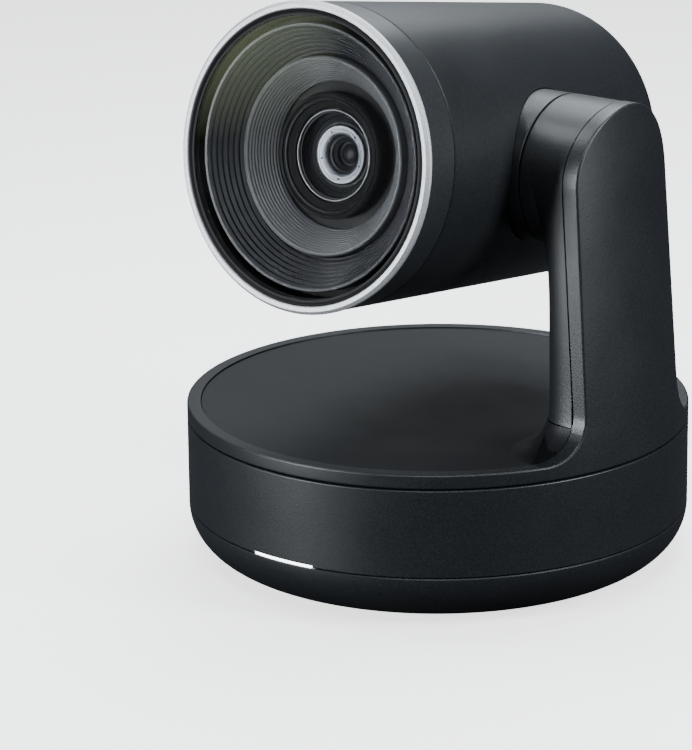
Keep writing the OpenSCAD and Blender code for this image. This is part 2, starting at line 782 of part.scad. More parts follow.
module tilt_shaft() {
    color("#cfd3d6")
    difference() {
        union() {
            along_x(hub_face_x - wall - 2, 0, tilt_h) cylinder(r = shaft_r + 4, h = 2);
            along_x(hub_face_x - wall - 2, 0, tilt_h)
                cylinder(r = shaft_r, h = tilt_gear_x + tilt_gear_t + 1 - hub_face_x + wall + 2);
        }
        along_x(0, 0, tilt_h) cylinder(r = shaft_r - 1.5, h = 90);
    }
}
module tilt_gear() {
    color("#e9e6da")
    along_x(tilt_gear_x, 0, tilt_h) spur_gear(tilt_module, tilt_teeth, tilt_gear_t, shaft_r);
}
module head_screws() {
    color("#8b9095") head_place()
    for (s = [-1, 1]) along_x(-25.6, 0, s * 16) rotate([0, 180, 0])
        translate([0, 0, -3.6]) screw(2 * head_bolt_r, 3.6);
}

base_band();
base_bowl();
foot_ring();
tripod_insert();
status_light();
port_panel();
power_jack();
usb_port();
video_port();
lock_slot();
pair_button();
base_chassis();
main_board();
ballast_plate();
pan_post();
pan_motor();
pan_pinion();
base_screws();
turret_shell();
turret_disc();
turret_frame();
pan_hub();
pan_bushes();
pan_gear();
pan_retainer();
arm_inner_cover();
arm_frame();
arm_cable();
tilt_motor();
tilt_pinion();
tilt_bush();
arm_screws();
head_barrel();
head_collar();
front_ring();
glass_gasket();
front_glass();
coarse_baffle();
fine_baffle();
lens_nose();
front_lens();
aperture_ring();
lens_barrel();
zoom_cell();
zoom_lens();
focus_cell();
focus_lens();
sensor_board();
image_sensor();
heat_sink();
head_chassis();
head_board();
tilt_shaft();
tilt_gear();
head_screws();
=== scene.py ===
# Pan, tilt and zoom camera: finished casings, lens hood, ports and studio round the CAD frame.
import json
import math
import bpy
import bmesh
from mathutils import Matrix, Vector


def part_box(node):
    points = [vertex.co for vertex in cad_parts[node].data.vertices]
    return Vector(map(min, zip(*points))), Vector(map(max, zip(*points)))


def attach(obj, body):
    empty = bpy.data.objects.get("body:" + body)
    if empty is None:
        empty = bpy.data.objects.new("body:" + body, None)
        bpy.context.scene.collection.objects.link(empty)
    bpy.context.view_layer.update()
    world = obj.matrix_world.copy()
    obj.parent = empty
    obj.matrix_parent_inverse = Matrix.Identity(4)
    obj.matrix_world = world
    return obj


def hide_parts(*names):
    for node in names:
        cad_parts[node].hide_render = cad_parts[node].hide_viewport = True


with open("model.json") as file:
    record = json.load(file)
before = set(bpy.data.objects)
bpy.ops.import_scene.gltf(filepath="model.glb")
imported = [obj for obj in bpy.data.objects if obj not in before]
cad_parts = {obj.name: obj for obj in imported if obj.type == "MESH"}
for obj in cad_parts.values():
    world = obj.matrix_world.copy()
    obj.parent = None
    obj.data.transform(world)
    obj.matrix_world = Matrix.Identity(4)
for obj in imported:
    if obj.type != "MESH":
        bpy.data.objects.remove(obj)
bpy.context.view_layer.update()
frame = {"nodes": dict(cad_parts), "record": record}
mm = 0.001  # the sizes below are in millimetres

# sizes that several pieces share
body = {
    "baseRadius": 76.0, "bowlTop": 16.9, "bandTop": 43.8, "turnBottom": 44.2, "turnTop": 48.5,
    "deckTop": 48.1, "deckRadius": 71.7, "lean": 0.07, "wall": 2.4, "segments": 180,
}
head = {
    "axisHeight": 126.3, "restTilt": 8.5, "front": -64.4, "back": 64.9, "ringRadius": 45.0,
    "collarBack": -50.8, "radius": 44.4, "backRadius": 41.3, "backRound": 13.9,
    "hubRadius": 22.2, "hubFace": 45.8,
}
slots = {entry["node"]: entry["material_slot"] for entry in frame["record"]["subparts"]}
bodyOf = {node: name for name, nodes in frame["record"]["behaviour"]["bodies"].items() for node in nodes}


def newGroup(name, inputs, outputs):
    group = bpy.data.node_groups.new(name, "ShaderNodeTree")
    for label, kind, value in inputs:
        socket = group.interface.new_socket(name=label, in_out="INPUT", socket_type=kind)
        socket.default_value = value
    for label, kind in outputs:
        group.interface.new_socket(name=label, in_out="OUTPUT", socket_type=kind)
    return group, group.nodes.new("NodeGroupInput"), group.nodes.new("NodeGroupOutput")


def addMath(tree, operation, *inputs):
    # an input is a plain number, or a socket to link
    node = tree.nodes.new("ShaderNodeMath")
    node.operation = operation
    for socket, given in zip(node.inputs, inputs):
        if isinstance(given, float):
            socket.default_value = given
        else:
            tree.links.new(given, socket)
    return node.outputs[0]


def addNoise(tree, place, scale, detail):
    noise = tree.nodes.new("ShaderNodeTexNoise")
    noise.inputs["Scale"].default_value = scale
    noise.inputs["Detail"].default_value = detail
    tree.links.new(place.outputs["Object"], noise.inputs["Vector"])
    return noise


grainLook = {"fineDetail": 2.0, "patchScale": 38.0, "patchDetail": 4.0, "patchRoughness": 0.16}


def makeGrainGroup():
    group, given, result = newGroup(
        "mouldedGrain",
        [("Colour", "NodeSocketColor", (0.02, 0.02, 0.022, 1)), ("Grain Scale", "NodeSocketFloat", 2600.0),
         ("Sparkle", "NodeSocketFloat", 0.25), ("Mottle", "NodeSocketFloat", 0.12),
         ("Roughness", "NodeSocketFloat", 0.45)],
        [("Colour", "NodeSocketColor"), ("Roughness", "NodeSocketFloat"), ("Height", "NodeSocketFloat")])
    links = group.links
    place = group.nodes.new("ShaderNodeTexCoord")
    fine = addNoise(group, place, 1.0, grainLook["fineDetail"])
    links.new(given.outputs["Grain Scale"], fine.inputs["Scale"])
    broad = addNoise(group, place, grainLook["patchScale"], grainLook["patchDetail"])
    speck = addMath(group, "SUBTRACT", fine.outputs["Fac"], 0.5)
    patch = addMath(group, "SUBTRACT", broad.outputs["Fac"], 0.5)
    shade = addMath(group, "MULTIPLY_ADD", speck, given.outputs["Sparkle"], 1.0)
    shade = addMath(group, "MULTIPLY_ADD", patch, given.outputs["Mottle"], shade)
    tint = group.nodes.new("ShaderNodeVectorMath")
    tint.operation = "SCALE"
    links.new(given.outputs["Colour"], tint.inputs[0])
    links.new(shade, tint.inputs["Scale"])
    rough = addMath(group, "MULTIPLY_ADD", patch, grainLook["patchRoughness"], given.outputs["Roughness"])
    links.new(tint.outputs[0], result.inputs["Colour"])
    links.new(rough, result.inputs["Roughness"])
    links.new(fine.outputs["Fac"], result.inputs["Height"])
    return group


grainGroup = makeGrainGroup()
reliefDepth = 0.00003  # metres, at a bump of 1


def makeFinish(name, colour, roughness, metal=0.0, grain=2600.0, sparkle=0.25, mottle=0.12, bump=0.0,
               specular=0.5):
    finish = bpy.data.materials.new(name)
    finish.use_nodes = True
    nodes, links = finish.node_tree.nodes, finish.node_tree.links
    shader = nodes["Principled BSDF"]
    shader.inputs["Metallic"].default_value = metal
    shader.inputs["Specular IOR Level"].default_value = specular
    grainNode = nodes.new("ShaderNodeGroup")
    grainNode.node_tree = grainGroup
    grainNode.inputs["Colour"].default_value = (*colour, 1)
    grainNode.inputs["Grain Scale"].default_value = grain
    grainNode.inputs["Sparkle"].default_value = sparkle
    grainNode.inputs["Mottle"].default_value = mottle
    grainNode.inputs["Roughness"].default_value = roughness
    links.new(grainNode.outputs["Colour"], shader.inputs["Base Color"])
    links.new(grainNode.outputs["Roughness"], shader.inputs["Roughness"])
    if bump > 0:
        relief = nodes.new("ShaderNodeBump")
        relief.inputs["Strength"].default_value = bump
        relief.inputs["Distance"].default_value = reliefDepth
        links.new(grainNode.outputs["Height"], relief.inputs["Height"])
        links.new(relief.outputs["Normal"], shader.inputs["Normal"])
    return finish


def makeGlass(name, tint, ior):
    glass = bpy.data.materials.new(name)
    glass.use_nodes = True
    nodes, links = glass.node_tree.nodes, glass.node_tree.links
    shader = nodes["Principled BSDF"]
    shader.inputs["Transmission Weight"].default_value = 1.0
    shader.inputs["Roughness"].default_value = 0.0
    shader.inputs["IOR"].default_value = ior
    place = nodes.new("ShaderNodeTexCoord")
    smear = addNoise(glass.node_tree, place, 60.0, 2.0)
    ramp = nodes.new("ShaderNodeValToRGB")
    ramp.color_ramp.elements[0].color = (*tint, 1)
    ramp.color_ramp.elements[1].color = (*[min(1.0, c * 1.06) for c in tint], 1)
    links.new(smear.outputs["Fac"], ramp.inputs["Fac"])
    links.new(ramp.outputs["Color"], shader.inputs["Base Color"])
    # lets the lights reach what is behind the glass
    clear = nodes.new("ShaderNodeBsdfTransparent")
    mixByRay(glass, "Is Shadow Ray", shader, clear, nodes["Material Output"].inputs["Surface"])
    return glass


def mixByRay(owner, ray, usual, whenRay, surface):
    nodes, links = owner.node_tree.nodes, owner.node_tree.links
    rays = nodes.new("ShaderNodeLightPath")
    chooser = nodes.new("ShaderNodeMixShader")
    links.new(rays.outputs[ray], chooser.inputs["Fac"])
    links.new(usual.outputs[0], chooser.inputs[1])
    links.new(whenRay.outputs[0], chooser.inputs[2])
    links.new(chooser.outputs[0], surface)


def makeGlowFinish(name, colour, strength):
    glow = makeFinish(name, colour, 0.35, sparkle=0.04, mottle=0.04)
    shader = glow.node_tree.nodes["Principled BSDF"]
    shader.inputs["Emission Color"].default_value = (*colour, 1)
    shader.inputs["Emission Strength"].default_value = strength
    return glow


# one finish for each material slot of the record
finishes = {
    "shell_plastic": makeFinish("charcoalShell", (0.0085, 0.0096, 0.0112), 0.41, grain=1500, sparkle=1.8,
                                bump=1.0),
    "deck_plastic": makeFinish("charcoalDeck", (0.006, 0.0065, 0.0074), 0.46, grain=1500, sparkle=1.4,
                               bump=0.8, specular=0.28),
    "dark_plastic": makeFinish("blackPlastic", (0.008, 0.008, 0.009), 0.5, sparkle=0.3, bump=0.2),
    "baffle_plastic": makeFinish("hoodPlastic", (0.011, 0.0113, 0.0135), 0.38, sparkle=1.6, bump=0.9,
                                 specular=0.36),
    "silver_ring": makeFinish("blastedSilver", (0.56, 0.57, 0.585), 0.58, metal=0.85, grain=2400, sparkle=1.0,
                              bump=0.8),
    "seal_rubber": makeFinish("sealRubber", (0.004, 0.004, 0.0045), 0.6, sparkle=0.2, specular=0.25),
    "foot_rubber": makeFinish("footRubber", (0.012, 0.012, 0.0125), 0.8, grain=1500, sparkle=0.4, bump=0.8),
    "light_plastic": makeGlowFinish("statusGlow", (0.93, 0.96, 1.0), 6.0),
    "brass": makeFinish("turnedBrass", (0.55, 0.38, 0.16), 0.3, metal=1.0, bump=0.2),
    "steel": makeFinish("platedSteel", (0.42, 0.43, 0.45), 0.35, metal=1.0, bump=0.2),
    "cast_plate": makeFinish("castBallast", (0.12, 0.125, 0.13), 0.7, metal=0.4, grain=900, sparkle=0.5,
                             bump=1.0),
    "sheet_aluminium": makeFinish("sheetAluminium", (0.55, 0.56, 0.58), 0.4, metal=1.0, bump=0.2),
    "port_metal": makeFinish("portMetal", (0.6, 0.61, 0.62), 0.25, metal=1.0, bump=0.1),
    "board": makeFinish("circuitBoard", (0.02, 0.11, 0.05), 0.4, grain=700, sparkle=0.4),
    "gear_nylon": makeFinish("gearNylon", (0.72, 0.69, 0.6), 0.45, bump=0.2),
    "flex_film": makeFinish("flexFilm", (0.45, 0.2, 0.03), 0.3, sparkle=0.1),
    "sensor_black": makeFinish("sensorPackage", (0.02, 0.03, 0.05), 0.2, sparkle=0.1),
    "cover_glass": makeGlass("coverGlass", (0.97, 0.98, 0.97), 1.45),
    "lens_glass": makeGlass("lensGlass", (0.9, 0.92, 0.97), 1.18),
}
# finishes of single pieces that differ from their slot's; some of them carry painted light or painted shade
noseFinish = makeFinish("nosePlastic", (0.002, 0.0021, 0.0023), 0.3, grain=3600, sparkle=0.8, bump=0.1,
                        specular=0.2)
# near-black matte copy of the black plastic: painted shade for the nose's shelf and the recess behind the
# glass
shadeBlackFinish = makeFinish("paintedShadeBlack", (0.0015, 0.0015, 0.0016), 0.6, grain=3600, sparkle=0.8, bump=0.3,
                         specular=0.12)
# a lighter, shinier copy of the hood plastic: the fine baffle's extra brightness is painted light
fineHoodLitFinish = makeFinish("fineHoodPaintedLight", (0.045, 0.0458, 0.048), 0.42, sparkle=1.6, bump=1.0, specular=0.6)
# a lighter, shinier copy of the shell plastic: painted highlight on the collar behind the ring
collarHighlightFinish = makeFinish("collarPaintedHighlight", (0.014, 0.0152, 0.017), 0.37, grain=1500, sparkle=1.8, bump=1.0,
                          specular=0.75)
apertureFinish = makeFinish("turnedSilver", (0.2, 0.205, 0.215), 0.42, metal=1.0, grain=4200, sparkle=0.4,
                            bump=0.3)


def spinProfile(points, steps=None, angle=360.0):
    # turns an outline of radius and height round Z
    mesh = bmesh.new()
    verts = [mesh.verts.new((r, 0, z)) for r, z in points]
    loop = list(zip(verts, verts[1:] + verts[:1]))
    edges = [mesh.edges.new(pair) for pair in loop if not (pair[0].co.x == 0 and pair[1].co.x == 0)]
    bmesh.ops.spin(mesh, geom=verts + edges, cent=(0, 0, 0), axis=(0, 0, 1), angle=math.radians(angle),
                   steps=steps or body["segments"], use_merge=angle == 360.0)
    bmesh.ops.remove_doubles(mesh, verts=mesh.verts, dist=1e-5)
    bmesh.ops.recalc_face_normals(mesh, faces=mesh.faces)
    return mesh


def closeEnds(mesh, turn):
    # caps a part turn and turns it to its place
    bmesh.ops.holes_fill(mesh, edges=[e for e in mesh.edges if e.is_boundary])
    bmesh.ops.recalc_face_normals(mesh, faces=mesh.faces)
    about = Matrix.Rotation(math.radians(turn), 3, "Z")
    bmesh.ops.rotate(mesh, cent=(0, 0, 0), matrix=about, verts=mesh.verts)
    return mesh


def arcPoints(cx, cz, radius, start, end, count):
    turns = [math.radians(start + (end - start) / count * i) for i in range(count + 1)]
    return [(cx + radius * math.cos(a), cz + radius * math.sin(a)) for a in turns]


def softenEdges(mesh, width, segments=3, sharper=25.0, choose=None):
    edges = [e for e in mesh.edges if len(e.link_faces) == 2
             and e.calc_face_angle(0) > math.radians(sharper) and (choose is None or choose(e))]
    bmesh.ops.bevel(mesh, geom=edges, offset=width, offset_type="OFFSET", segments=segments, profile=0.5,
                    affect="EDGES", clamp_overlap=True, material=-1)


def finishPiece(name, mesh, node, slot=None, place=None, replaces=True, smoothAngle=38.0, finish=None,
                even=True):
    # moves the mesh to its place in metres and makes it a piece that rides with the node's body
    if place is not None:
        bmesh.ops.transform(mesh, matrix=place, verts=mesh.verts)
    bmesh.ops.scale(mesh, vec=(mm, mm, mm), verts=mesh.verts)
    data = bpy.data.meshes.new(name)
    mesh.to_mesh(data)
    mesh.free()
    for polygon in data.polygons:
        polygon.use_smooth = True
    data.set_sharp_from_angle(angle=math.radians(smoothAngle))
    piece = bpy.data.objects.new(name, data)
    bpy.context.scene.collection.objects.link(piece)
    slot = slot or slots[node]
    data.materials.append(finish or finishes[slot])
    if even:
        weighted = piece.modifiers.new("evenNormals", "WEIGHTED_NORMAL")
        weighted.keep_sharp = True
    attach(piece, bodyOf[node])
    if replaces:
        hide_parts(node)
    return piece


def cutMesh(mesh, cutter, operation="DIFFERENCE"):
    holders = []
    for part in (mesh, cutter):
        data = bpy.data.meshes.new("cutting")
        part.to_mesh(data)
        part.free()
        holder = bpy.data.objects.new("cutting", data)
        bpy.context.scene.collection.objects.link(holder)
        holders.append(holder)
    cut = holders[0].modifiers.new("cut", "BOOLEAN")
    cut.operation = operation
    cut.solver = "EXACT"
    cut.object = holders[1]
    bpy.context.view_layer.update()
    result = bmesh.new()
    result.from_mesh(holders[0].evaluated_get(bpy.context.evaluated_depsgraph_get()).to_mesh())
    for holder in holders:
        data = holder.data
        bpy.data.objects.remove(holder)
        bpy.data.meshes.remove(data)
    return result


def blockMesh(low, high):
    mesh = bmesh.new()
    bmesh.ops.create_cube(mesh, size=1.0)
    bmesh.ops.scale(mesh, vec=Vector(high) - Vector(low), verts=mesh.verts)
    bmesh.ops.translate(mesh, vec=(Vector(high) + Vector(low)) / 2, verts=mesh.verts)
    return mesh


def rodMesh(radius, low, high, alongX=False, at=(0, 0), sides=96):
    mesh = bmesh.new()
    bmesh.ops.create_cone(mesh, cap_ends=True, segments=sides, radius1=radius, radius2=radius,
                          depth=high - low)
    bmesh.ops.translate(mesh, vec=(*at, (high + low) / 2), verts=mesh.verts)
    if alongX:
        bmesh.ops.transform(mesh, matrix=Matrix.Rotation(math.pi / 2, 4, "Y"), verts=mesh.verts)
    return mesh


def joinMeshes(whole, part):
    data = bpy.data.meshes.new("joining")
    part.to_mesh(data)
    part.free()
    whole.from_mesh(data)
    bpy.data.meshes.remove(data)
    return whole


# headPlace puts the head on the tilt axis at its rest angle; spinToHead lays a turned piece along the lens
headPlace = (Matrix.Translation((0, 0, head["axisHeight"]))
             @ Matrix.Rotation(math.radians(-head["restTilt"]), 4, "X"))
spinToHead = headPlace @ Matrix.Rotation(-math.pi / 2, 4, "X")
hubToHead = headPlace @ Matrix.Rotation(math.pi / 2, 4, "Y")

band = {
    "seam": 0.25, "edge": 0.45, "nicheWidth": 52.0, "nicheHeight": 17.0, "nicheCorner": 1.6,
    "nicheFloor": 2.0, "notchAngle": 16.6, "notchDepth": 3.0, "notchTop": 1.0,
}


def makeBand():
    outer, wall = body["baseRadius"], body["wall"]
    low, high = body["bowlTop"] + band["seam"], body["bandTop"]
    casing = spinProfile([(outer, low), (outer, high), (outer - wall, high), (outer - wall, low)])
    softenEdges(casing, band["edge"])
    # the port niche is a walled pocket, open at the back
    middle = (body["bowlTop"] + high) / 2
    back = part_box("port_panel")[1].y / mm - band["nicheFloor"]
    halfW, halfH = band["nicheWidth"] / 2, band["nicheHeight"] / 2
    surround = blockMesh((-halfW - wall, back, middle - halfH - wall),
                         (halfW + wall, outer, middle + halfH + wall))
    surround = cutMesh(surround, rodMesh(outer - 0.5, 0, 60, sides=360), "INTERSECT")
    casing = cutMesh(casing, surround, "UNION")
    opening = blockMesh((-halfW, back - 1, middle - halfH), (halfW, outer + 5, middle + halfH))
    softenEdges(opening, band["nicheCorner"], segments=4,
                choose=lambda e: abs((e.verts[0].co - e.verts[1].co).y) > 1)
    casing = cutMesh(casing, opening)
    # the notch for the light bar, at the front
    inner, top = outer - band["notchDepth"], body["bowlTop"] + band["notchTop"]
    notch = spinProfile([(inner, low - 1), (outer + 1, low - 1), (outer + 1, top), (inner, top)],
                        steps=24, angle=band["notchAngle"])
    finishPiece("bandCasing", cutMesh(casing, closeEnds(notch, -90 - band["notchAngle"] / 2)), "base_band")


foot = {"inner": 50.0, "outer": 56.0, "height": 1.6, "groove": (52.4, 53.6), "grooveDepth": 0.35,
        "edge": 0.25}
bowl = {
    "inset": 17.0, "bottom": 1.2, "insertHole": 6.6, "footGap": 0.2, "footGroove": 0.5, "lip": 0.3,
    "steps": 24, "screwRing": 46.0, "screwHole": 3.2, "screwDepth": 3.2, "screwTurns": (45, 135, 225, 315),
}


def makeBowl():
    outer, top, wall = body["baseRadius"], body["bowlTop"], body["wall"]
    inset, floor = bowl["inset"], bowl["bottom"]
    turns = [math.pi / 2 * i / bowl["steps"] for i in range(bowl["steps"] + 1)]
    curve = [(outer - inset + inset * math.sin(a), floor + (top - floor) * (1 - math.cos(a))) for a in turns]
    inner, rim = foot["inner"] - bowl["footGap"], foot["outer"] + bowl["footGap"]
    grooveTop = floor + bowl["footGroove"]
    profile = [(bowl["insertHole"], floor), (inner, floor), (inner, grooveTop), (rim, grooveTop),
               (rim, floor)]
    profile += curve[:-1] + [(outer, top - bowl["lip"]), (outer - bowl["lip"], top), (outer - wall, top)]
    profile += [(r - wall * (r - foot["inner"]) / (outer - foot["inner"]), z + wall)
                for r, z in reversed(curve[:-5])]
    profile += [(bowl["insertHole"], floor + wall)]
    casing = spinProfile(profile)
    for turn in bowl["screwTurns"]:
        a = math.radians(turn)
        at = (bowl["screwRing"] * math.cos(a), bowl["screwRing"] * math.sin(a))
        casing = cutMesh(casing, rodMesh(bowl["screwHole"], -1, bowl["screwDepth"], at=at, sides=40))
    finishPiece("bowlCasing", casing, "base_bowl")


def makeFoot():
    left, right = foot["groove"]
    depth, height = foot["grooveDepth"], foot["height"]
    ring = spinProfile([(foot["inner"], 0.0), (left, 0.0), (left, depth), (right, depth), (right, 0.0),
                        (foot["outer"], 0.0), (foot["outer"], height), (foot["inner"], height)])
    softenEdges(ring, foot["edge"], segments=2)
    finishPiece("rubberFoot", ring, "foot_ring")


insert = {
    "radius": 2.55, "pitch": 1.27, "threadDepth": 0.55, "depth": 9.2, "outer": 6.4, "top": 10.7,
    "bottom": 1.2, "flange": 8.9, "flangeLow": 3.6, "flangeHigh": 5.1,
}


def makeInsert():
    outer, flange, radius, pitch = insert["outer"], insert["flange"], insert["radius"], insert["pitch"]
    profile = [(outer, insert["bottom"]), (outer, insert["flangeLow"]), (flange, insert["flangeLow"]),
               (flange, insert["flangeHigh"]), (outer, insert["flangeHigh"]), (outer, insert["top"]),
               (0, insert["top"]), (0, insert["depth"])]
    z = insert["depth"]
    while z - pitch > insert["bottom"] + 0.7:
        profile += [(radius, z), (radius + insert["threadDepth"], z - pitch / 2)]
        z -= pitch
    profile += [(radius, z), (radius + 0.6, insert["bottom"])]
    finishPiece("threadedInsert", spinProfile(profile, steps=72), "tripod_insert")


lightBar = {"angle": 16.0, "start": -98.0, "depth": 2.3, "inset": 0.1, "height": 0.9, "gap": 0.02,
            "edge": 0.25}


def makeLight():
    inner, outer = body["baseRadius"] - lightBar["depth"], body["baseRadius"] - lightBar["inset"]
    low = body["bowlTop"] + lightBar["gap"]
    high = low + lightBar["height"]
    bar = spinProfile([(inner, low), (outer, low), (outer, high), (inner, high)],
                      steps=24, angle=lightBar["angle"])
    bar = closeEnds(bar, lightBar["start"])
    softenEdges(bar, lightBar["edge"])
    finishPiece("lightBar", bar, "status_light")


arm = {
    "halfTop": 22.5, "flare": 1.1, "fillet": 13.0, "depth": 4.8, "lip": 4.2, "innerX": 53.5, "corner": 9.4,
    "seamHeight": 57.1, "edge": 0.6, "innerEdge": 0.12, "plugInset": 1.0, "plugDepth": 1.4,
    "flatTo": 45.0, "flatFade": 15.0,
}
armTop = head["axisHeight"] + arm["halfTop"]


def rimRadius(z):
    return body["baseRadius"] - body["lean"] * max(0.0, z - body["turnTop"])


def innerRadius(z):
    # radius of the outer shell's inner edge, where the arm's cover meets it
    share = (z - body["turnTop"]) / (armTop + 1 - body["turnTop"])
    low, high = body["baseRadius"] - arm["lip"], rimRadius(armTop + 1) - arm["depth"]
    return low + (high - low) * share


def halfWidth(z):
    # half the arm's width, with the concave corners at its foot
    share = (head["axisHeight"] - z) / (head["axisHeight"] - arm["seamHeight"])
    half = arm["halfTop"] + arm["flare"] * min(max(share, 0.0), 1.0)
    rise = z - body["turnTop"]
    if rise < arm["fillet"]:
        half += arm["fillet"] - math.sqrt(arm["fillet"] ** 2 - (arm["fillet"] - max(rise, 0.0)) ** 2)
    return half


def shellOutline():
    # the arm's side, crown and other side, as width and height
    rim = body["turnTop"]
    foots = [rim + arm["fillet"] * (1 - math.cos(math.radians(a))) for a in range(0, 91, 5)]
    side = [(halfWidth(z), z) for z in foots + [75, 90, 105, 116]]
    crown = arcPoints(0, head["axisHeight"], arm["halfTop"], 0, 180, 60)
    return side + crown + [(-y, z) for y, z in reversed(side)]


def makeShell():
    # the rim and the arm's outer skin are one flat sheet, thickened, then wrapped round the pan axis
    radius, low, rim = body["baseRadius"], body["turnBottom"], body["turnTop"]
    around = math.pi * radius
    points = [(around, low), (around, rim)]
    points += [(radius * math.asin(y / rimRadius(z)), z) for y, z in shellOutline()]
    points += [(-around, rim), (-around, low)]
    shell = bmesh.new()
    face = shell.faces.new([shell.verts.new((0, s, z)) for s, z in points])
    grown = bmesh.ops.extrude_face_region(shell, geom=[face])
    bmesh.ops.translate(shell, vec=(-arm["lip"], 0, 0), verts=vertsOf(grown))
    bmesh.ops.recalc_face_normals(shell, faces=shell.faces)
    def along(e):
        a, b = (v.co for v in e.verts)
        return max(abs(a.y), abs(b.y)) < around - 0.01 or (a.z == b.z and a.y != b.y)
    softenEdges(shell, arm["edge"], segments=3, sharper=40,
                choose=lambda e: along(e) and e.verts[0].co.x > -0.01)
    softenEdges(shell, arm["innerEdge"], segments=1, sharper=40,
                choose=lambda e: along(e) and max(v.co.x for v in e.verts) < 0.01 - arm["lip"])
    # a narrower plug behind the seam keeps the joint dark
    back = [f for f in shell.faces if f.normal.x < -0.99]
    bmesh.ops.inset_region(shell, faces=back, thickness=arm["plugInset"], use_even_offset=True)
    grown = bmesh.ops.extrude_face_region(shell, geom=back)
    bmesh.ops.delete(shell, geom=back, context="FACES")
    bmesh.ops.translate(shell, vec=(-arm["plugDepth"], 0, 0), verts=vertsOf(grown))
    # enough cuts to bend smoothly
    cuts = [(radius * math.radians(a), (0, 1, 0)) for a in range(-178, 179, 2)]
    cuts += [(z, (0, 0, 1)) for z in range(52, 149, 4)]
    for at, normal in cuts:
        bmesh.ops.bisect_plane(shell, geom=shell.verts[:] + shell.edges[:] + shell.faces[:],
                               plane_co=Vector(normal) * at, plane_no=normal, dist=1e-4)
    ends = [f for f in shell.faces if all(abs(abs(v.co.y) - around) < 1e-3 for v in f.verts)]
    bmesh.ops.delete(shell, geom=ends, context="FACES_ONLY")
    for vert in shell.verts:
        vert.co = wrapPoint(vert.co)
    bmesh.ops.remove_doubles(shell, verts=shell.verts, dist=1e-3)
    bmesh.ops.recalc_face_normals(shell, faces=shell.faces)
    finishPiece("turntableShell", shell, "turret_shell", smoothAngle=45)


def vertsOf(grown):
    return [v for v in grown["geom"] if isinstance(v, bmesh.types.BMVert)]


def wrapPoint(point):
    # x is behind the skin, y runs round the rim; the arm's flanks stay parallel and the rim radial
    angle, z = point.y / body["baseRadius"], point.z
    rise = max(0.0, z - body["turnTop"]) / (armTop - body["turnTop"])
    inside = rimRadius(z) + point.x * (1 + rise * (arm["depth"] / arm["lip"] - 1))
    flat = math.asin(min(1.0, max(-1.0, rimRadius(z) * math.sin(angle) / inside)))
    share = min(1.0, max(0.0, (arm["flatTo"] - abs(math.degrees(angle))) / arm["flatFade"]))
    angle += (flat - angle) * share
    return (inside * math.cos(angle), inside * math.sin(angle), z)


cover = {
    "inset": 0.06, "hubGap": 0.24, "face": 46.3, "bore": 9.2, "seamGap": 0.15, "cornerLoss": 2.0,
    "cornerRise": 43.0, "rowHeights": (66, 76, 86, 94), "blendHeight": 98.0,
    "hubWall": (59.0, 56.5, 54.0, 51.0), "halfTurns": 16,
    "blend": ((0.0, 0.12, 0.0), (0.42, 0.4, 0.15), (0.8, 0.72, 0.62)), "subdivisions": 3,
}


def seamX(y, z):
    return math.sqrt((innerRadius(z) - 0.4) ** 2 - y * y)


def coverRow(z, innerX, half, corner, turns=(30, 60, 90), count=15):
    # one level section of the arm's inner half: seam, rounded corner, inner face and back
    left = [(seamX(half, z), -half), (innerX + corner, -half)]
    reach = half - corner
    for turn in turns:
        a = math.radians(turn)
        left.append((innerX + corner - corner * math.sin(a), -half + corner - corner * math.cos(a)))
    middle = [(innerX, -reach + 2 * reach * (i + 1) / (count + 1)) for i in range(count)]
    right = [(x, -y) for x, y in reversed(left)]
    return [Vector((x, y, z)) for x, y in left + middle + right]


def bridgeRows(mesh, rows, closed=False):
    grid = [[mesh.verts.new(point) for point in row] for row in rows]
    for lower, upper in zip(grid, grid[1:]):
        pairs = list(zip(lower, lower[1:], upper[1:], upper))
        if closed:
            pairs.append((lower[-1], lower[0], upper[0], upper[-1]))
        for quad in pairs:
            mesh.faces.new(quad)


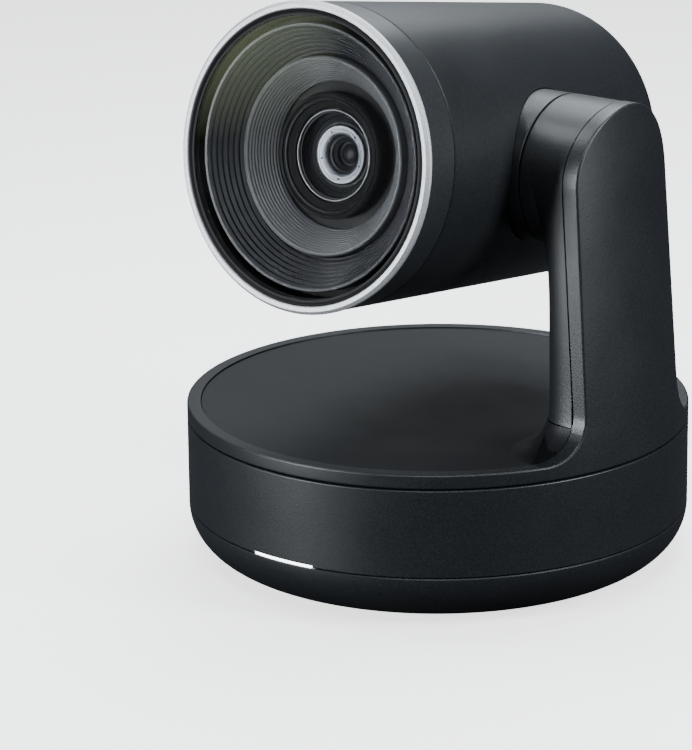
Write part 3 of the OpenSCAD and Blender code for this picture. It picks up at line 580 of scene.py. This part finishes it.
def makeArmCover():
    hub, axis, inner = head["hubRadius"] + cover["hubGap"], head["axisHeight"], arm["innerX"]
    wallX, steps, seam = cover["hubWall"], cover["halfTurns"], arm["seamHeight"]
    def onHub(x, angle, radius=hub):
        a = math.radians(angle)
        return Vector((x, radius * math.cos(a), axis + radius * math.sin(a)))
    def row(z):
        corner = arm["corner"] - cover["cornerLoss"] * min(1.0, (z - seam) / cover["cornerRise"])
        return coverRow(z, inner, halfWidth(z) - cover["inset"], corner)
    # the lower half of the hub's housing, as one row from seam to seam
    arc = [onHub(wallX[-1], 180 + 180 * (i + 1) / steps) for i in range(steps - 1)]
    hubRow = [onHub(seamX(hub, axis), 180)] + [onHub(x, 180) for x in wallX] + arc
    hubRow += [onHub(x, 0) for x in reversed(wallX)] + [onHub(seamX(hub, axis), 0)]
    rows = [row(z) for z in (seam + cover["seamGap"], seam + 1.0) + cover["rowHeights"]]
    near = row(cover["blendHeight"])
    half = len(hubRow) // 2
    for middleShare, sideShare, drop in cover["blend"]:
        blended = []
        for i, (a, b) in enumerate(zip(near, hubRow)):
            middle = 1 - abs(i - half) / half
            point = a.lerp(b, sideShare + (middleShare - sideShare) * min(1.0, middle * 1.6))
            if len(wallX) < i < len(hubRow) - 1 - len(wallX):
                point.x = inner + (wallX[-1] - inner) * drop * min(1.0, middle * 2)
            blended.append(point)
        rows.append(blended)
    rows.append(hubRow)
    mesh = bmesh.new()
    bridgeRows(mesh, rows)
    # the upper half of the housing, then its face and bore
    turns = [180 - 180 * i / steps for i in range(steps + 1)]
    crown = [[onHub(seamX(onHub(0, a).y, onHub(0, a).z), a) for a in turns]]
    crown += [[onHub(x, a) for a in turns] for x in wallX]
    bridgeRows(mesh, crown)
    face, bore = cover["face"], cover["bore"]
    rings = [(wallX[-1], hub), (48.5, hub), (face + 0.5, hub), (face + 0.15, hub - 0.12), (face, hub - 0.5),
             (face, 14.0), (face, bore + 0.2), (face + 2.0, bore), (face + 6.0, bore)]
    bridgeRows(mesh, [[onHub(x, 180 / steps * i, r) for i in range(2 * steps)] for x, r in rings],
               closed=True)
    bmesh.ops.remove_doubles(mesh, verts=mesh.verts, dist=0.02)
    crease = mesh.edges.layers.float.new("crease_edge")
    for edge in mesh.edges:
        if edge.is_boundary:
            edge[crease] = 1.0
    bmesh.ops.recalc_face_normals(mesh, faces=mesh.faces)
    if mesh.calc_volume(signed=True) < 0:  # the back is open, so the first guess may be inside out
        bmesh.ops.reverse_faces(mesh, faces=mesh.faces)
    piece = finishPiece("armCover", mesh, "arm_inner_cover", smoothAngle=60, even=False)
    subdivide = piece.modifiers.new("smooth", "SUBSURF")
    subdivide.levels = subdivide.render_levels = cover["subdivisions"]


deck = {"thickness": 1.6, "hubRadius": 16.0, "edge": 0.3, "footInset": 0.1, "footSteps": 12,
        "cornerGrowth": 0.9}


def makeDeck():
    radius, top, seam = body["deckRadius"], body["deckTop"], arm["seamHeight"] - cover["seamGap"]
    low, step = top - deck["thickness"], top - 1.2
    plate = spinProfile([(deck["hubRadius"], low), (radius, low), (radius, top), (0, top), (0, step),
                         (deck["hubRadius"], step)])
    softenEdges(plate, deck["edge"], segments=2, sharper=60)
    # the arm's foot rises from the deck in a concave curve up to the cover's seam
    rise, sunk = seam - top, 0.04
    rows = []
    for i in range(deck["footSteps"] + 1):
        z = top - sunk + (rise + sunk) * (1 - math.cos(math.radians(90 * i / deck["footSteps"])))
        lift = min(rise, max(0.0, z - top))
        spread = rise - math.sqrt(max(0.0, rise ** 2 - (rise - lift) ** 2))
        rows.append(coverRow(z, arm["innerX"] - spread, halfWidth(z + 0.4) - deck["footInset"],
                             arm["corner"] + deck["cornerGrowth"] * spread, range(9, 91, 9)))
    last = rows[-1]
    rows.append([last[0].copy()] + [p + Vector((0.5, -0.3 if p.y > 0 else 0.3, 0.0)) for p in last[1:-1]]
                + [last[-1].copy()])
    mesh = bmesh.new()
    bridgeRows(mesh, rows)
    bmesh.ops.holes_fill(mesh, edges=[e for e in mesh.edges if e.is_boundary])
    bmesh.ops.recalc_face_normals(mesh, faces=mesh.faces)
    finishPiece("turntableDeck", joinMeshes(plate, mesh), "turret_disc", smoothAngle=60)


barrel = {"seamEdge": 0.3, "seamGap": 0.05, "hubHole": 0.3, "hubRoot": 30.0, "hubBore": 9.5, "hubEdge": 0.4}


def makeBarrel():
    wall, back, front = body["wall"], head["back"], head["collarBack"] + barrel["seamGap"]
    rounding = head["backRound"]
    centre = (head["backRadius"] - rounding, back - rounding)
    profile = [(head["radius"] - wall, front), (head["radius"] - barrel["seamEdge"], front),
               (head["radius"], front + barrel["seamEdge"])]
    profile += arcPoints(*centre, rounding, 0, 90, 16) + [(0, back), (0, back - wall)]
    profile += arcPoints(*centre, rounding - wall, 90, 0, 10)
    mesh = spinProfile(profile)
    bmesh.ops.transform(mesh, matrix=Matrix.Rotation(-math.pi / 2, 4, "X"), verts=mesh.verts)
    mesh = cutMesh(mesh, rodMesh(head["hubRadius"] + barrel["hubHole"], 20, 60, alongX=True, sides=144))
    finishPiece("headBarrel", mesh, "head_barrel", place=headPlace, smoothAngle=30)
    face, root, inside = head["hubFace"], barrel["hubRoot"], head["hubRadius"] - wall
    hub = spinProfile([(barrel["hubBore"], face - wall), (barrel["hubBore"], face), (head["hubRadius"], face),
                       (head["hubRadius"], root), (inside, root), (inside, face - wall)], steps=144)
    softenEdges(hub, barrel["hubEdge"])
    finishPiece("headHub", hub, "head_barrel", replaces=False, place=hubToHead)


collar = {"behindRing": 1.85, "seam": 0.28, "edge": 0.3, "lap": 3.0, "bore": 40.4, "seatRadius": 41.6}


def makeCollar():
    front, back = head["front"] + collar["behindRing"], head["collarBack"] - collar["seam"]
    lapRadius, seat = head["radius"] - body["wall"] - 0.2, head["front"] + 2.1
    mesh = spinProfile([(head["ringRadius"] - 0.25, front), (head["radius"] + 0.02, back - collar["edge"]),
                        (head["radius"] - collar["edge"], back), (lapRadius, back),
                        (lapRadius, back + collar["lap"]), (collar["bore"], back + collar["lap"]),
                        (collar["bore"], seat + 0.9),
                        (collar["seatRadius"], seat), (collar["seatRadius"], front)])
    # the collar takes the painted-highlight finish
    finishPiece("headCollar", mesh, "head_collar", place=spinToHead, smoothAngle=30, finish=collarHighlightFinish)


ring = {"inner": 42.6, "depth": 1.8, "chamfer": 0.9, "edge": 0.12}


def makeRing():
    front, outer, inner, cut = head["front"], head["ringRadius"], ring["inner"], ring["chamfer"]
    mesh = spinProfile([(inner + 0.25, front + 0.02), (outer - cut, front), (outer, front + cut),
                        (outer, front + ring["depth"]), (inner, front + ring["depth"]), (inner, front + 0.4)])
    softenEdges(mesh, ring["edge"], segments=2, sharper=20)
    finishPiece("silverRing", mesh, "front_ring", place=spinToHead, smoothAngle=30)


# outlines of the turned pieces round the glass: radius, and depth behind the ring's front
seal = {
    "lips": [(42.55, 0.75), (42.2, 0.55), (41.9, 0.75), (41.8, 0.9), (41.3, 0.6), (40.8, 0.72), (40.7, 0.93),
             (41.25, 0.93), (41.25, 2.1), (42.55, 2.1)],
    "shadeLiner": [(41.3, 2.2), (40.35, 2.95), (40.35, 9.4), (38.75, 9.4), (38.75, 9.58), (40.39, 9.58),
              (40.39, 3.02), (41.34, 2.28)],
}


def turnedPiece(name, outline, start, node, **options):
    # outline gives radius and depth behind start
    mesh = spinProfile([(r, start + depth) for r, depth in outline])
    finishPiece(name, mesh, node, place=spinToHead, **options)


def makeSeal():
    # a near-black sheet over the collar's bore behind the glass: painted shade for the dark recess there
    turnedPiece("recessShadeSheet", seal["shadeLiner"], head["front"], "glass_gasket", replaces=False, finish=shadeBlackFinish)
    turnedPiece("glassSeal", seal["lips"], head["front"], "glass_gasket", smoothAngle=50)


glass = {"depth": 0.95, "radius": 41.2, "thickness": 1.2, "edge": 0.2}


def makeCoverGlass():
    front = head["front"] + glass["depth"]
    back = front + glass["thickness"]
    mesh = spinProfile([(0, front), (glass["radius"], front), (glass["radius"], back), (0, back)])
    softenEdges(mesh, glass["edge"], segments=2)
    finishPiece("coverGlass", mesh, "front_glass", place=spinToHead)


hoods = {
    "coarse": {"outer": 37.7, "inner": 29.7, "start": 3.4, "end": 11.6, "ribs": 7, "groove": 0.5},
    "fine": {"outer": 28.0, "inner": 21.8, "start": 9.6, "end": 16.2, "ribs": 10, "groove": 0.3},
}


def ribPoints(hood):
    # one sloping tread and one groove for each rib
    pitch = (hood["outer"] - hood["inner"]) / hood["ribs"]
    drop = (hood["end"] - hood["start"]) / hood["ribs"]
    points = []
    for i in range(hood["ribs"]):
        r, depth = hood["outer"] - pitch * i, hood["start"] + drop * i
        low = depth + drop + hood["groove"]
        points += [(r, depth), (r - 0.12 * pitch, depth - 0.05 * drop),
                   (r - 0.66 * pitch, depth + 0.42 * drop), (r - 0.74 * pitch, depth + 0.55 * drop),
                   (r - 0.78 * pitch, low), (r - 0.96 * pitch, low)]
    return points


def makeHoods():
    coarse, fine = hoods["coarse"], hoods["fine"]
    end = coarse["end"]
    points = [(40.3, 9.6), (38.7, 9.6), (38.6, 3.5), (38.35, 3.3), (37.95, 3.35)] + ribPoints(coarse)
    points += [(29.6, end), (29.3, end + 0.2), (29.3, end + 1.7), (40.3, end + 1.7)]
    turnedPiece("coarseHood", points, head["front"], "coarse_baffle", smoothAngle=24)
    start, end = fine["start"], fine["end"]
    points = [(29.0, start + 4.0), (28.8, start), (28.5, start - 0.3), (28.1, start)] + ribPoints(fine)
    points += [(21.7, end), (21.5, end + 0.2), (21.5, end + 1.5), (29.0, end + 1.5)]
    # the fine baffle takes the painted-light finish
    turnedPiece("fineHood", points, head["front"], "fine_baffle", smoothAngle=24, finish=fineHoodLitFinish)


# the lens is turned too: outlines give radius, and depth behind the nose or behind the aperture
lens = {
    "nose": 12.6, "aperture": 19.2,
    "noseOutline": [(18.4, 1.0), (18.15, 0.35), (17.7, 0.1), (17.3, 0.25), (17.1, 0.8), (16.6, 1.0),
                    (16.4, 0.75), (16.1, 0.8), (15.8, 1.5), (14.0, 2.3), (13.8, 2.2), (13.6, 3.0),
                    (12.35, 3.2), (12.3, 4.2), (18.4, 4.2)],
    "shelfOutline": [(18.42, 1.4), (18.42, 5.0), (24.4, 5.0), (24.4, 5.6), (12.3, 5.6), (12.3, 4.25),
                     (18.2, 4.25), (18.2, 1.4)],
    "trimRadius": 13.05, "trimDepth": 2.5, "trimWire": 0.24,
    "domeRadius": 12.2, "domeCurve": 48.0, "domeDepth": 3.3, "domeBack": 5.5, "domeSteps": 16,
    "ringOutline": [(8.4, 1.2), (8.4, -0.3), (8.25, -0.5), (7.75, -0.45), (7.7, -0.3), (7.5, -0.3),
                    (7.45, -0.35), (6.75, -0.2), (6.7, -0.05), (6.5, -0.05), (6.45, -0.1), (5.9, 0.1),
                    (5.6, 0.5), (5.5, 1.2)],
    "holes": 5, "holeRing": 7.1, "holeRadius": 0.3, "firstHole": 20,
    "seatOutline": [(12.9, 1.3), (12.9, -0.6), (12.2, -0.6), (11.0, -0.1), (10.8, 0.2), (9.6, 0.6),
                    (9.4, 0.3), (8.7, 0.3), (8.45, 0.9), (8.45, 1.3)],
    "throatOutline": [(6.4, 1.25), (5.45, 1.25), (5.2, 1.5), (4.6, 1.6), (4.5, 2.2), (3.5, 2.6), (3.4, 3.6),
                      (0, 3.6), (0, 3.9), (6.4, 3.9)],
    "beadRadius": 3.35, "beadCurve": 5.0, "beadTurn": 0.6, "beadDepth": 2.75, "beadBack": 3.55,
}


def makeLens():
    nose, aperture = head["front"] + lens["nose"], head["front"] + lens["aperture"]
    turnedPiece("lensNose", lens["noseOutline"], nose, "lens_nose", smoothAngle=35, finish=noseFinish)
    # the shelf is painted shade: near-black where the lens lies deep in shadow
    turnedPiece("noseShelf", lens["shelfOutline"], nose, "lens_nose", replaces=False, smoothAngle=35,
                finish=shadeBlackFinish)
    wire = arcPoints(lens["trimRadius"], lens["trimDepth"], lens["trimWire"], 0, 315, 7)
    turnedPiece("trimRing", wire, nose, "lens_nose", slot="silver_ring", replaces=False, smoothAngle=80,
                finish=apertureFinish)
    dome, curve = lens["domeRadius"], lens["domeCurve"]
    radii = [dome * i / lens["domeSteps"] for i in range(lens["domeSteps"] + 1)]
    bulge = [(r, lens["domeDepth"] + curve - math.sqrt(curve ** 2 - r ** 2)) for r in radii]
    bulge += [(dome, lens["domeBack"]), (0.0, lens["domeBack"])]
    turnedPiece("frontElement", bulge, nose, "front_lens")
    mesh = spinProfile([(r, aperture + depth) for r, depth in lens["ringOutline"]])
    for i in range(lens["holes"]):
        turn = math.radians(lens["firstHole"] + 360 / lens["holes"] * i)
        at = (lens["holeRing"] * math.cos(turn), lens["holeRing"] * math.sin(turn))
        mesh = cutMesh(mesh, rodMesh(lens["holeRadius"], aperture - 2, aperture + 0.8, at=at, sides=16))
    finishPiece("apertureRing", mesh, "aperture_ring", place=spinToHead, smoothAngle=35,
                finish=apertureFinish)
    turnedPiece("apertureSeat", lens["seatOutline"], aperture, "aperture_ring", slot="dark_plastic",
                replaces=False, smoothAngle=30, finish=noseFinish)
    turnedPiece("lensThroat", lens["throatOutline"], aperture, "lens_barrel", replaces=False, smoothAngle=30,
                finish=noseFinish)
    bead = [(0, lens["beadDepth"])]
    for a in range(10, 91, 10):
        sag = lens["beadCurve"] * (1 - math.cos(math.radians(a * lens["beadTurn"])))
        bead.append((lens["beadRadius"] * math.sin(math.radians(a)), lens["beadDepth"] + sag))
    turnedPiece("innerElement", bead + [(0, lens["beadBack"])], aperture, "lens_barrel", slot="sensor_black",
                replaces=False, finish=noseFinish)


def dressCadNodes():
    # the CAD nodes that stay keep their shape and take their slot's finish
    for name, piece in frame["nodes"].items():
        finish = finishes[slots[name]]
        if piece.data.materials:
            for i in range(len(piece.data.materials)):
                piece.data.materials[i] = finish
        else:
            piece.data.materials.append(finish)


def stageMesh(name, mesh, paint):
    data = bpy.data.meshes.new(name)
    mesh.to_mesh(data)
    mesh.free()
    data.materials.append(paint)
    thing = bpy.data.objects.new(name, data)
    bpy.context.scene.collection.objects.link(thing)
    return thing


floor = {"size": 3.0, "colour": (0.82, 0.82, 0.83, 1), "glow": 1.8, "dimColour": (0.03, 0.03, 0.032, 1)}


def makeFloor():
    # pale to look at, but dark to the object, so that its lower faces stay dark
    paint = bpy.data.materials.new("paleFloor")
    paint.use_nodes = True
    nodes = paint.node_tree.nodes
    shader = nodes["Principled BSDF"]
    shader.inputs["Base Color"].default_value = floor["colour"]
    shader.inputs["Roughness"].default_value = 0.9
    shader.inputs["Emission Color"].default_value = (1, 1, 1, 1)
    shader.inputs["Emission Strength"].default_value = floor["glow"]
    dim = nodes.new("ShaderNodeBsdfDiffuse")
    dim.inputs["Color"].default_value = floor["dimColour"]
    mixByRay(paint, "Is Camera Ray", dim, shader, nodes["Material Output"].inputs["Surface"])
    mesh = bmesh.new()
    bmesh.ops.create_grid(mesh, x_segments=2, y_segments=2, size=floor["size"])
    stageMesh("floor", mesh, paint)


studio = {"backdrop": 2.0, "ambient": 0.07, "ambientColour": (0.8, 0.87, 1, 1),
          "lightColour": (0.9, 0.955, 1.0)}
# azimuth 0 is in front of the lens and grows towards the arm; distances and sizes are in metres
softboxes = {
    "overhead": {"azimuth": 195, "elevation": 72, "distance": 0.9, "size": (0.75, 0.35), "power": 12.0},
    "behindTop": {"azimuth": 207, "elevation": 48, "distance": 0.5, "size": (0.22, 0.22), "power": 1.0},
    "frontLeft": {"azimuth": -19, "elevation": 6, "distance": 0.8, "size": (0.1, 0.24), "power": 6.8},
    "lowLeft": {"azimuth": -35, "elevation": -7, "distance": 0.46, "size": (0.2, 0.05), "power": 0.65,
                "aim": (0.05, -0.02, 0.092)},
    "hoodLight": {"azimuth": -75, "elevation": 52, "distance": 0.6, "size": (0.2, 0.2), "power": 1.8,
                  "aim": (0.0, -0.06, 0.135)},
    "frontTop": {"azimuth": 33, "elevation": 46, "distance": 1.0, "size": (0.3, 0.3), "power": 4.0},
    "rightFill": {"azimuth": 98, "elevation": 42, "distance": 1.0, "size": (0.3, 0.4), "power": 3.2},
    "armTop": {"azimuth": 98, "elevation": 12, "distance": 0.42, "size": (0.12, 0.16), "power": 2.3,
               "aim": (0.07, 0.0, 0.145)},
    "deckSheen": {"azimuth": 218, "elevation": 14, "distance": 0.8, "size": (0.5, 0.2), "power": 0.17},
}


def wayTo(azimuth, elevation):
    az, el = math.radians(azimuth), math.radians(elevation)
    return Vector((math.sin(az) * math.cos(el), -math.cos(az) * math.cos(el), math.sin(el)))


def addSoftbox(name, box):
    light = bpy.data.lights.new(name, "AREA")
    light.shape = "RECTANGLE"
    light.size, light.size_y = box["size"]
    light.energy = box["power"]
    light.color = studio["lightColour"]
    lamp = bpy.data.objects.new(name, light)
    bpy.context.scene.collection.objects.link(lamp)
    away = wayTo(box["azimuth"], box["elevation"])
    lamp.location = Vector(box.get("aim", (0, 0, 0.09))) + away * box["distance"]
    lamp.rotation_euler = away.to_track_quat("Z", "Y").to_euler()
    lamp.visible_transmission = False  # keeps stray sparks out of the lens


def makeStudio():
    makeFloor()
    world = bpy.data.worlds.new("studio")
    bpy.context.scene.world = world
    world.use_nodes = True
    nodes = world.node_tree.nodes
    backdrop = nodes["Background"]
    backdrop.inputs["Color"].default_value = (1, 1, 1, 1)
    backdrop.inputs["Strength"].default_value = studio["backdrop"]
    dim = nodes.new("ShaderNodeBackground")
    dim.inputs["Color"].default_value = studio["ambientColour"]
    dim.inputs["Strength"].default_value = studio["ambient"]
    mixByRay(world, "Is Camera Ray", dim, backdrop, nodes["World Output"].inputs["Surface"])
    for name, box in softboxes.items():
        addSoftbox(name, box)
    makeGlow()


glow = {"at": (-0.452, -0.562, 0.188), "aim": (0, -0.0628, 0.1357), "size": 0.066, "strength": 3.8,
        "colour": (0.5, 0.58, 0.37, 1)}


def makeGlow():
    # a soft green panel that only the cover glass mirrors, off to the left of the view
    paint = bpy.data.materials.new("glassGlow")
    paint.use_nodes = True
    nodes, links = paint.node_tree.nodes, paint.node_tree.links
    place = nodes.new("ShaderNodeTexCoord")
    scale = nodes.new("ShaderNodeVectorMath")
    scale.operation = "SCALE"
    scale.inputs["Scale"].default_value = 1 / glow["size"]
    fade = nodes.new("ShaderNodeTexGradient")
    fade.gradient_type = "SPHERICAL"
    light = nodes.new("ShaderNodeEmission")
    light.inputs["Color"].default_value = glow["colour"]
    links.new(place.outputs["Object"], scale.inputs[0])
    links.new(scale.outputs[0], fade.inputs["Vector"])
    power = addMath(paint.node_tree, "MULTIPLY", fade.outputs["Fac"], glow["strength"])
    links.new(power, light.inputs["Strength"])
    links.new(light.outputs[0], nodes["Material Output"].inputs["Surface"])
    mesh = bmesh.new()
    bmesh.ops.create_circle(mesh, cap_ends=True, segments=48, radius=glow["size"])
    panel = stageMesh("glassGlow", mesh, paint)
    panel.location = glow["at"]
    panel.rotation_euler = (Vector(glow["aim"]) - Vector(glow["at"])).to_track_quat("Z", "Y").to_euler()


view = {"azimuth": 38.4, "elevation": 17.42, "distance": 1.25, "target": (-0.03533, 0.0, 0.0483),
        "roll": -0.64, "lens": 194.34, "sensor": 36.0}


def makeCamera():
    away = wayTo(view["azimuth"], view["elevation"])
    camera = bpy.data.cameras.new("camera")
    camera.lens = view["lens"]
    camera.sensor_width = view["sensor"]
    holder = bpy.data.objects.new("camera", camera)
    bpy.context.scene.collection.objects.link(holder)
    holder.location = Vector(view["target"]) + away * view["distance"]
    holder.rotation_mode = "QUATERNION"
    roll = Matrix.Rotation(math.radians(view["roll"]), 3, "Z").to_quaternion()
    holder.rotation_quaternion = away.to_track_quat("Z", "Y") @ roll
    bpy.context.scene.camera = holder


dressCadNodes()
makeBand()
makeBowl()
makeFoot()
makeInsert()
makeLight()
print("base done")
makeShell()
makeArmCover()
makeDeck()
print("turntable done")
makeBarrel()
makeCollar()
makeRing()
makeSeal()
makeCoverGlass()
makeHoods()
makeLens()
print("head done")
makeStudio()
makeCamera()
print("studio done")
